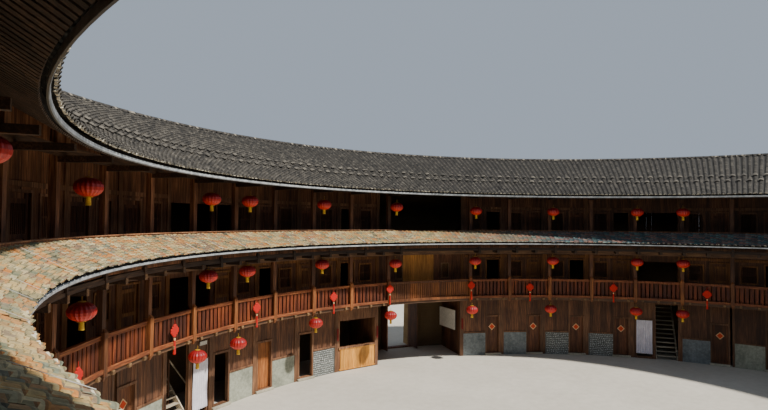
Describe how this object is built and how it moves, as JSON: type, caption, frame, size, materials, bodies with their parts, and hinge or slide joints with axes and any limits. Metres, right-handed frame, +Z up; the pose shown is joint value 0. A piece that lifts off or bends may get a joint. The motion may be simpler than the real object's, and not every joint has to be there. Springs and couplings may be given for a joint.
{
  "type": "tulou roundhouse",
  "caption": "Round earth-walled house of three storeys: tiled ring roof, pent roof, timber galleries and rooms round an open courtyard, stairs and hinged ground-floor doors.",
  "frame": {"origin": "centre of the courtyard at ground level, which is the bottom centre of the bounding box", "axes": "+Z is up, the main gate looks along -Y, and the hall opposite the gate lies along +Y"},
  "size_m": [39.8, 39.8, 9.79],
  "materials": {
    "earth": "rammed earth",
    "roof_tile": "weathered grey clay tile",
    "pent_tile": "weathered clay tile",
    "timber": "aged red-brown timber",
    "door_wood": "worn planks",
    "gutter": "pale grey sheet"
  },
  "bodies": {
    "building": {"earth_wall_1": "earth", "earth_wall_2": "earth", "earth_wall_3": "earth", "earth_wall_4": "earth", "earth_wall_over_gate": "earth", "gate_frame": "door_wood", "main_roof_1": "roof_tile", "main_roof_2": "roof_tile", "main_roof_3": "roof_tile", "main_roof_4": "roof_tile", "pent_roof_left": "pent_tile", "pent_roof_right": "pent_tile", "eave_gutter": "gutter", "pent_gutter": "gutter", "floor_2_left": "timber", "floor_2_right": "timber", "floor_3_left": "timber", "floor_3_right": "timber", "gallery_front_2_left": "timber", "gallery_front_3_left": "timber", "gallery_front_2_right": "timber", "gallery_front_3_right": "timber", "pent_eave_frame_left": "timber", "main_eave_frame_left": "timber", "pent_eave_frame_right": "timber", "main_eave_frame_right": "timber", "room_wall_2_left": "timber", "room_wall_2_right": "timber", "room_wall_2_rear_hall": "timber", "room_wall_3_left": "timber", "room_wall_3_right": "timber", "room_wall_3_rear_hall": "timber", "room_wall_2_gate_hall": "timber", "front_wall_left_1": "timber", "front_wall_left_2": "timber", "front_wall_left_3": "timber", "front_wall_left_5": "timber", "front_wall_left_4": "timber", "front_wall_left_far": "timber", "front_wall_right_1": "timber", "front_wall_right_2": "timber", "front_wall_right_3": "timber", "front_wall_right_5": "timber", "front_wall_right_4": "timber", "front_wall_right_far": "timber", "front_wall_left_0": "timber", "front_wall_right_0": "timber", "stair_left": "timber", "passage_wall_left": "timber", "stair_right": "timber", "passage_wall_right": "timber"},
    "door_right_0": {"door_right_0": "door_wood"},
    "door_right_1": {"door_right_1": "door_wood"},
    "door_right_2": {"door_right_2": "door_wood"},
    "door_right_3": {"door_right_3": "door_wood"},
    "door_right_5": {"door_right_5": "door_wood"},
    "door_left_2": {"door_left_2": "door_wood"},
    "door_left_5": {"door_left_5": "door_wood"},
    "gate_leaf_left": {"gate_leaf_left": "door_wood"},
    "gate_leaf_right": {"gate_leaf_right": "door_wood"}
  },
  "joints": [
    {"name": "door_right_0_hinge", "type": "hinge", "parent": "building", "child": "door_right_0", "pos_m": [-4.17672, -15.01768, 0.975], "axis": [0, 0, -1], "range_deg": [0, 95]},
    {"name": "door_right_1_hinge", "type": "hinge", "parent": "building", "child": "door_right_1", "pos_m": [-6.16907, -14.31496, 0.975], "axis": [0, 0, -1], "range_deg": [0, 95]},
    {"name": "door_right_2_hinge", "type": "hinge", "parent": "building", "child": "door_right_2", "pos_m": [-8.0481, -13.34929, 0.975], "axis": [0, 0, -1], "range_deg": [0, 95]},
    {"name": "door_right_3_hinge", "type": "hinge", "parent": "building", "child": "door_right_3", "pos_m": [-9.77929, -12.13841, 0.975], "axis": [0, 0, -1], "range_deg": [0, 95]},
    {"name": "door_right_5_hinge", "type": "hinge", "parent": "building", "child": "door_right_5", "pos_m": [-12.67426, -9.07406, 0.975], "axis": [0, 0, -1], "range_deg": [0, 95]},
    {"name": "door_left_2_hinge", "type": "hinge", "parent": "building", "child": "door_left_2", "pos_m": [8.0481, -13.34929, 0.975], "axis": [0, 0, 1], "range_deg": [0, 95]},
    {"name": "door_left_5_hinge", "type": "hinge", "parent": "building", "child": "door_left_5", "pos_m": [12.67426, -9.07406, 0.975], "axis": [0, 0, 1], "range_deg": [0, 95]},
    {"name": "gate_leaf_left_hinge", "type": "hinge", "parent": "building", "child": "gate_leaf_left", "pos_m": [0.83, -18.005, 1.265], "axis": [0, 0, 1], "range_deg": [0, 90]},
    {"name": "gate_leaf_right_hinge", "type": "hinge", "parent": "building", "child": "gate_leaf_right", "pos_m": [-0.83, -18.005, 1.265], "axis": [0, 0, -1], "range_deg": [0, 90]}
  ]
}
